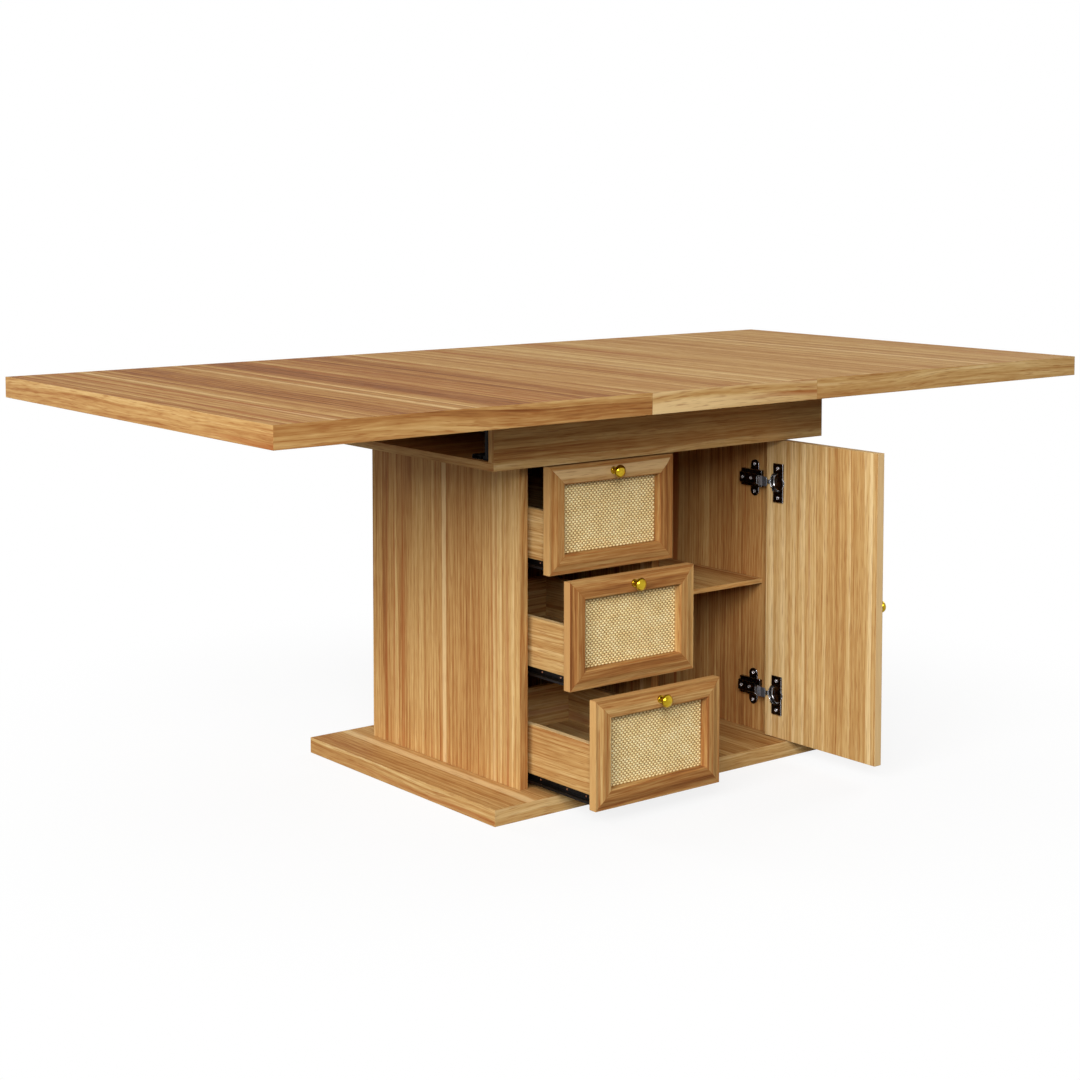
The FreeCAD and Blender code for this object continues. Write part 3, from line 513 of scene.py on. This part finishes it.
# strands of one direction: the section is a flat lens of five points, and along the strand its height is
# swing times the cosine of half a turn for each crossing, turned over from one strand to the next
def strands(label, count, crossings, pitchAlong, pitchAcross, flip):
    run = np.linspace(0.0, crossings, crossings * weave["stepsPerCrossing"] + 1)
    side, bulge = np.array(weave["side"]), np.array(weave["bulge"])
    strand, travel, corner = np.meshgrid(np.arange(count), run, np.arange(len(side)), indexing="ij")
    phase = np.pi * (travel - 0.5 + strand)
    height = flip * weave["swing"] * np.cos(phase) + weave["swing"] + weave["thick"] * bulge[corner]
    across = (strand + 0.5) * pitchAcross + side[corner] * weave["halfWidth"][label]
    points = np.stack([travel * pitchAlong, across, height], axis=-1)
    uv = np.stack([travel * pitchAlong, strand + 0.5 + side[corner] * weave["flowHalf"]], axis=-1)
    index = np.arange(points[..., 0].size).reshape(strand.shape)
    here, ahead = index[:, :-1, :], index[:, 1:, :]
    faces = np.stack([here, ahead, np.roll(ahead, -1, axis=2), np.roll(here, -1, axis=2)], axis=-1)
    caps = np.concatenate([index[:, 0], index[:, -1, ::-1]])
    return points, faces, uv, caps


# strand colour: fibres along the strand, one tone for each strand, darker towards its edges
def strawFinish(label):
    finish = Finish("straw" + label.capitalize())
    along, number = finish.split(finish.node("ShaderNodeUVMap", {"uv_map": "flow"}))[:2]
    strand = number.floor()
    fromMiddle = abs(number - strand - 0.5)
    fibre = finish.cloud(finish.join(along, number, 0.0), **straw["fibre"])
    blotch = finish.cloud(finish.objectPoint(), **straw["blotch"])
    level = (fibre * straw["fibreShare"] + finish.chance(strand) * straw["strandShare"]
             + blotch * straw["blotchShare"])
    colour = finish.ramp(level, straw[label])
    colour = finish.mixColour(fromMiddle.rise(*straw["rimRise"]) * straw["rimShare"], colour, straw["rim"])
    bump = finish.bump(fibre, straw["bumpStrength"], straw["bumpDistance"])
    return finish.surface({"Base Color": colour, "Roughness": straw["roughness"] + fibre * straw["roughStep"],
                           "Normal": bump})


# backing seen between the strands: the same straw in shade, mottled
def backingFinish():
    finish = Finish("weaveBacking")
    mottle = finish.cloud(finish.objectPoint(), **backing["mottle"])
    return finish.surface({"Base Color": finish.ramp(mottle, backing["ramp"]),
                           "Roughness": backing["roughness"] + mottle * backing["roughStep"]})


# local frame of an inlay: its corner, the way across it, the way out of its face, its width and its height
def inlayFrame(name, acrossAxis):
    low, high = (np.array(corner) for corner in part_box(name))
    toRight, toBack = np.eye(3)[:2]
    size = high - low
    if acrossAxis == "x":
        return low, toRight, -toBack, size[0], size[2]
    return np.array([high[0], low[1], low[2]]), toBack, toRight, size[1], size[2]


strandMaterials = {label: strawFinish(label) for label in ("weft", "warp")}
backingMaterial = backingFinish()
for inlayName, (inlayBody, acrossAxis) in inlays.items():
    origin, sideways, outward, width, height = inlayFrame(inlayName, acrossAxis)
    columns, rows = round(width / weave["pitch"]), round(height / weave["pitch"])
    pitchU, pitchV = width / columns, height / rows
    for label, count, crossings, pitchAlong, pitchAcross, flip, runAxis, stepAxis in (
            ("weft", rows, columns, pitchU, pitchV, 1.0, sideways, upward),
            ("warp", columns, rows, pitchV, pitchU, -1.0, upward, sideways)):
        points, faces, uv, caps = strands(label, count, crossings, pitchAlong, pitchAcross, flip)
        placed = origin + points[..., :1] * runAxis + points[..., 1:2] * stepAxis + points[..., 2:] * outward
        if np.dot(np.cross(runAxis, stepAxis), outward) < 0:
            faces, caps = faces[..., ::-1], caps[:, ::-1]
        strandPiece = meshPiece(inlayName + "_" + label, placed, faces, uv, strandMaterials[label],
                                caps=caps.tolist())
        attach(strandPiece, inlayBody)
    setMaterial(inlayName, backingMaterial)
print("woven inlays:", len(inlays))


# knobs: turned brass, a profile of (radius, reach) carried round the knob's axis;
# the collar's edge is given as shares of its radius and thickness
knobShape = {
    "collarRadius": 0.007, "collarThick": 0.0035, "collarEdge": ((1.0, 0.7), (0.955, 0.93), (0.88, 1.0)),
    "sunk": 0.0004, "neckRadius": 0.0043, "neckFlare": 0.75, "neckSteps": 10, "capRadius": 0.01175,
    "capHalf": 0.0075, "capCentre": 0.018, "capStart": -62.0, "capSteps": 26, "turns": 64,
    "sharp": 50.0,
}
knobs = {drawer + "_knob": (drawer, (0.0, -1.0, 0.0)) for drawer in drawers}  # body and the way it points
knobs["door_knob"] = ("door", (1.0, 0.0, 0.0))


# profile: bevelled collar, a neck waisted by the square of a raised cosine, then an ellipse to the pole
def knobProfile():
    radius, thick = knobShape["collarRadius"], knobShape["collarThick"]
    foot = np.array([[0.0, -knobShape["sunk"]], [radius, -knobShape["sunk"]]])
    collar = np.array(knobShape["collarEdge"]) * (radius, thick)
    turn = np.linspace(np.radians(knobShape["capStart"]), np.pi / 2, knobShape["capSteps"])
    cap = np.stack([knobShape["capRadius"] * np.cos(turn),
                    knobShape["capCentre"] + knobShape["capHalf"] * np.sin(turn)], axis=1)
    share = np.linspace(0.0, 1.0, knobShape["neckSteps"])
    flare = radius * knobShape["neckFlare"] - knobShape["neckRadius"]
    waist = knobShape["neckRadius"] + flare * (0.5 + 0.5 * np.cos(share * np.pi * 2)) ** 2
    neck = np.stack([waist, thick + share * (cap[0, 1] - thick)], axis=1)
    return np.concatenate([foot, collar, neck, cap])


# a profile turned about an axis through base: x = r cos, y = r sin, z = reach, closed at both poles;
# a notch holds the profile within a radius and a reach, from where the sine passes its first value
# and fully from its second
def lathe(name, profile, base, axis, shape, material):
    turns = shape["turns"]
    angle = np.linspace(0.0, 2 * np.pi, turns, endpoint=False)
    ring = np.cos(angle)[:, None] * upward + np.sin(angle)[:, None] * np.cross(axis, upward)
    grid = np.repeat(profile[:, None], turns, axis=1)
    if "notch" in shape:
        first, full = shape["notch"]["sines"]
        opened = np.clip((np.sin(angle) - first) / (full - first), 0.0, 1.0)
        grid = grid - opened[None, :, None] * np.maximum(grid - shape["notch"]["within"], 0.0)
    points = base + grid[..., :1] * ring[None] + grid[..., 1:] * axis
    index = np.arange(points.shape[0] * turns).reshape(points.shape[0], turns)
    here, ahead = index[:-1], index[1:]
    faces = np.stack([here, np.roll(here, -1, axis=1), np.roll(ahead, -1, axis=1), ahead], axis=-1)
    uv = np.stack(np.broadcast_arrays(angle[None], profile[:, 1:]), axis=-1)
    return meshPiece(name, points, faces, uv, material, merge=True, sharp=shape["sharp"])


for knobNode, (knobBody, knobAxis) in knobs.items():
    low, high = (np.array(corner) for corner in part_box(knobNode))
    axis = np.array(knobAxis)
    base = np.where(axis < 0, high, np.where(axis > 0, low, (low + high) / 2))
    knobPiece = lathe(knobNode + "_turned", knobProfile(), base, axis, knobShape, metalMaterials["brass"])
    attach(knobPiece, knobBody)
    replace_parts(knobPiece, knobNode)
print("knobs:", len(knobs))


# screw heads: a polar grid whose height is a low dome less a cross-shaped recess with sloping walls;
# all lengths are shares of the head's radius or height
screw = {
    "rings": (0.0, 0.12, 0.2, 0.29, 0.39, 0.5, 0.6, 0.72, 0.85, 0.95, 1.0, 1.0), "turns": 32, "crown": 0.42,
    "slotHalf": 0.13, "slotReach": 0.58, "slotSlope": 0.1, "slotDepth": 0.55, "sharp": 40.0,
}


def screwHeads(name, centres, axis, radius, height, material, body, slotName):
    turn = np.linspace(0, 2 * np.pi, screw["turns"], endpoint=False)
    share, angle = np.meshgrid(np.array(screw["rings"]), turn, indexing="ij")
    u, v = share * np.cos(angle), share * np.sin(angle)

    def slotArm(wide, longWay):
        side = np.clip((screw["slotHalf"] + screw["slotSlope"] - abs(wide)) / screw["slotSlope"], 0, 1)
        end = np.clip((screw["slotReach"] + screw["slotSlope"] - abs(longWay)) / screw["slotSlope"], 0, 1)
        return side * end

    tall = 1 - screw["crown"] + screw["crown"] * np.sqrt(np.clip(1 - share ** 2, 0, 1))
    tall = tall - screw["slotDepth"] * np.maximum(slotArm(u, v), slotArm(v, u))
    tall[-1] = 0.0
    axis = np.array(axis)
    flat = u[..., None] * np.cross(upward, axis) + v[..., None] * upward
    points = np.array(centres)[:, None, None, :] + (radius * flat + height * tall[..., None] * axis)[None]
    index = np.arange(points[..., 0].size).reshape(points.shape[:3])
    here, ahead = index[:, :-1], index[:, 1:]
    faces = np.stack([here, ahead, np.roll(ahead, -1, axis=2), np.roll(here, -1, axis=2)], axis=-1)
    uv = np.broadcast_to(np.stack([u, v], axis=-1), points.shape[:3] + (2,))
    piece = meshPiece(name, points, faces, uv, material, merge=True, caps=index[:, -1, ::-1],
                      sharp=screw["sharp"])
    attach(piece, body)
    return piece


# hinges: places are read from the hinge nodes' boxes at rest; heads sit on the plate's wings and on the arm,
# at the given depths from their right sides
hinge = {
    "headRadius": 0.0036, "headHeight": 0.0017, "cupScrewRise": 0.029, "cupScrewInset": 0.0145,
    "plateScrewRise": 0.027, "plateScrewInset": 0.023, "plateWing": 0.0022, "adjusterRadius": 0.0034,
    "adjusterHeight": 0.0013, "adjusters": (0.0085, 0.031), "armDepth": 0.007, "pinInset": 0.0025,
}
# cup bowl and rim: a closed profile of (radius, height over the door's face) turned about the cup's axis,
# up the outside of the thin wall, over the rim and down the inside of the bowl;
# the bowl is cut down on the side where the arm comes in when the door is shut
cupShape = {
    "outside": ((0.0, -0.0096), (0.0122, -0.0096), (0.0164, -0.0090), (0.0183, -0.0066), (0.0183, 0.0026)),
    "rim": ((0.0195, 0.0028), (0.0192, 0.0031), (0.0187, 0.0032), (0.0183, 0.0030), (0.0181, 0.0026)),
    "inside": ((0.0181, -0.0040), (0.0177, -0.0068), (0.0160, -0.0086), (0.0120, -0.0093), (0.0, -0.0093)),
    "notch": {"sines": (0.60, 0.74), "within": (0.0183, -0.0040)}, "radius": 0.02, "turns": 48,
    "sharp": 50.0,
}
# link plate: half widths at stations along it from its pin, carried through a thickness with rounded edges
linkShape = {
    "reach": (0.0, 0.0046, 0.0046, 0.0050, 0.0203, 0.0213, 0.0222, 0.0233),
    "half": (0.0066, 0.0066, 0.0090, 0.0095, 0.0095, 0.0090, 0.0074, 0.0050),
    "thick": 0.003, "soften": 0.0007, "softenSteps": 4, "sharp": 35.0,
}


# the outline goes out along one side and back along the other;
# rings step in by a quarter circle at both faces
def linkPlate(name, pin):
    reach, half = np.array(linkShape["reach"]), np.array(linkShape["half"])
    along = np.concatenate([reach, reach[::-1]])
    side = np.concatenate([half, -half[::-1]])
    quarter = np.linspace(0, np.pi / 2, linkShape["softenSteps"])
    lift = linkShape["thick"] / 2 - linkShape["soften"] * (1 - np.sin(quarter))
    inset = linkShape["soften"] * (1 - np.cos(quarter))
    lift, inset = np.concatenate([-lift[::-1], lift]), np.concatenate([inset[::-1], inset])
    shrink = 1 - inset[:, None] / half.max()
    centre = along.mean()
    points = np.stack([pin[0] - np.broadcast_to(lift[:, None], (lift.size, along.size)),
                       pin[1] - (centre + (along - centre) * shrink), pin[2] + side * shrink], axis=-1)
    index = np.arange(points[..., 0].size).reshape(points.shape[:2])
    here, ahead = index[:-1], index[1:]
    faces = np.stack([here, ahead, np.roll(ahead, -1, axis=1), np.roll(here, -1, axis=1)], axis=-1)
    uv = np.broadcast_to(np.stack([along, side], axis=-1), points.shape[:2] + (2,))
    return meshPiece(name, points, faces, uv, metalMaterials["steel"], caps=[index[0], index[-1][::-1]],
                     sharp=linkShape["sharp"])


towardsBay = np.array([-1.0, 0.0, 0.0])
brightSteel = metalMaterials["brightSteel"]
cupHeads, plateHeads, adjusterHeads = [], [], []
for level in levels:
    cupLow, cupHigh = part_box(level + "_hinge_cup")
    plateLow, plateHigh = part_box(level + "_hinge_plate")
    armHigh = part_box(level + "_hinge_arm")[1]
    middleZ = (cupLow[2] + cupHigh[2]) / 2
    for way in (-1.0, 1.0):
        cupHeads.append((cupLow[0], cupLow[1] + hinge["cupScrewInset"],
                         middleZ + way * hinge["cupScrewRise"]))
        plateHeads.append((plateHigh[0] - hinge["plateWing"], plateLow[1] + hinge["plateScrewInset"],
                           middleZ + way * hinge["plateScrewRise"]))
    for setback in hinge["adjusters"]:
        adjusterHeads.append((armHigh[0] - hinge["armDepth"], armHigh[1] - setback, middleZ))
headSize = (hinge["headRadius"], hinge["headHeight"])
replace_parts(screwHeads("cup_screw_heads", cupHeads, towardsBay, *headSize, brightSteel,
                       "door", "bright_steel"), "cup_screws")
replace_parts(screwHeads("plate_screw_heads", plateHeads, towardsBay, *headSize, brightSteel,
                       "pedestal", "bright_steel"), "plate_screws")
screwHeads("hinge_adjusters", adjusterHeads, towardsBay, hinge["adjusterRadius"], hinge["adjusterHeight"],
           brightSteel, "pedestal", "bright_steel")

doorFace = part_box("door_panel")[0][0]
cupProfile = np.array(cupShape["outside"] + cupShape["rim"] + cupShape["inside"])
for level in levels:
    cupLow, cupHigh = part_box(level + "_hinge_cup")
    cupAt = np.array([doorFace, cupLow[1] + cupShape["radius"], (cupLow[2] + cupHigh[2]) / 2])
    cupPiece = lathe(level + "_cup_bowl", cupProfile, cupAt, towardsBay, cupShape, metalMaterials["chrome"])
    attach(cupPiece, "door")
    linkLow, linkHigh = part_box(level + "_hinge_link")
    pinAt = ((linkLow[0] + linkHigh[0]) / 2, linkHigh[1] - hinge["pinInset"], (linkLow[2] + linkHigh[2]) / 2)
    linkPiece = linkPlate(level + "_link_plate", pinAt)
    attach(linkPiece, "hinge_links")
    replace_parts(linkPiece, level + "_hinge_link")
print("hinge fittings: done")

# small screws along the drawer runners, on the strip that shows beside the drawer
runnerScrew = {"radius": 0.0016, "height": 0.0008, "below": 0.0045,
               "setbacks": (0.012, 0.022, 0.075, 0.15, 0.3)}
for drawer in drawers:
    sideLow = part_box(drawer + "_left_side")[0]
    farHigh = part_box(drawer + "_right_side")[1]
    for label, face, way in (("left", sideLow[0], -1.0), ("right", farHigh[0], 1.0)):
        centres = [(face, sideLow[1] + setback, sideLow[2] - runnerScrew["below"])
                   for setback in runnerScrew["setbacks"]]
        screwHeads(drawer + "_" + label + "_runner_screws", centres, (way, 0.0, 0.0), runnerScrew["radius"],
                   runnerScrew["height"], metalMaterials["copperZinc"], drawer, "bright_steel")
print("runner screws: done")


# stage: a floor that is white to the eye and in reflections, and keeps a soft shadow near the object
stage = {"reach": 9.0, "drop": 0.0004, "floorBounce": 0.25, "floorGrey": 0.95, "shadowShare": 0.16,
         "shadowRise": (1.5, 0.5), "worldLight": 0.07, "white": (1.0, 1.0, 1.0, 1.0)}
floorFinish = Finish("paleFloor")
seen = floorFinish.seen()
fromMiddle = floorFinish.node("ShaderNodeVectorMath", {"operation": "LENGTH"},
                              {0: floorFinish.objectPoint()}, "Value")
near = fromMiddle.rise(*stage["shadowRise"])
floorGrey = stage["floorBounce"] + seen * (stage["floorGrey"] - stage["floorBounce"])
floorMatte = floorFinish.node("ShaderNodeBsdfDiffuse", None,
                              {"Color": floorFinish.join(floorGrey, floorGrey, floorGrey)})
floorWhite = floorFinish.node("ShaderNodeEmission", None, {"Color": stage["white"], "Strength": 1.0})
floorMix = floorFinish.node("ShaderNodeMixShader", None,
                            {0: seen * (1.0 - near * stage["shadowShare"]), 1: floorMatte, 2: floorWhite})
floorFinish.node("ShaderNodeOutputMaterial", None, {0: floorMix})
floorCorners = np.array([[-1.0, -1.0, 0.0], [1.0, -1.0, 0.0], [1.0, 1.0, 0.0], [-1.0, 1.0, 0.0]])
floorPiece = meshPiece("paleFloor", floorCorners * stage["reach"] - stage["drop"] * upward,
                       np.array([[0, 1, 2, 3]]), np.zeros((4, 2)), floorFinish.owner)

world = bpy.data.worlds.new("studio")
bpy.context.scene.world = world
worldFinish = Finish("studio", world)
worldStrength = stage["worldLight"] + worldFinish.seen() * (1.0 - stage["worldLight"])
worldWhite = worldFinish.node("ShaderNodeBackground", None,
                              {"Color": stage["white"], "Strength": worldStrength})
worldFinish.node("ShaderNodeOutputWorld", None, {0: worldWhite})

# lamps: place, point aimed at, size and power
lamps = {
    "keyLamp": ((-5.24, -6.40, 4.20), (0.0, -0.15, 0.4), 3.8, 627.0),
    "sideLamp": ((-7.66, -2.94, 4.20), (0.0, -0.15, 0.4), 3.8, 528.0),
    "rearLamp": ((-2.5, 8.0, 2.2), (0.0, 0.0, 0.4), 3.5, 290.0),
    "rightLamp": ((7.4, 1.3, 5.2), (0.0, 0.0, 0.4), 3.5, 270.0),
}
for lampName, (place, aim, width, power) in lamps.items():
    lampData = bpy.data.lights.new(lampName, "AREA")
    lampData.size = width
    lampData.energy = power
    lamp = bpy.data.objects.new(lampName, lampData)
    bpy.context.scene.collection.objects.link(lamp)
    lamp.location = place
    back = np.array(place) - np.array(aim)
    tilt = math.atan2(math.hypot(back[0], back[1]), back[2])
    heading = math.atan2(back[0], -back[1])
    lamp.rotation_euler = (tilt, 0.0, heading)

# camera fitted to the photograph's edges; angles in degrees, lens and sensor in mm
camera = {"place": (-2.547, -3.141, 1.1325), "pitch": 4.11, "yaw": -38.256, "lens": 69.57, "sensor": 36.0,
          "shift": -0.20, "clipEnd": 60.0}
cameraData = bpy.data.cameras.new("photoCamera")
cameraData.sensor_width = camera["sensor"]
cameraData.lens = camera["lens"]
cameraData.shift_y = camera["shift"]
cameraData.clip_end = camera["clipEnd"]
cameraObject = bpy.data.objects.new("photoCamera", cameraData)
bpy.context.scene.collection.objects.link(cameraObject)
cameraObject.location = camera["place"]
cameraObject.rotation_euler = (math.radians(90.0 - camera["pitch"]), 0.0, math.radians(camera["yaw"]))
bpy.context.scene.camera = cameraObject
bpy.context.scene.view_settings.view_transform = "Standard"
print("stage, lamps and camera: set")
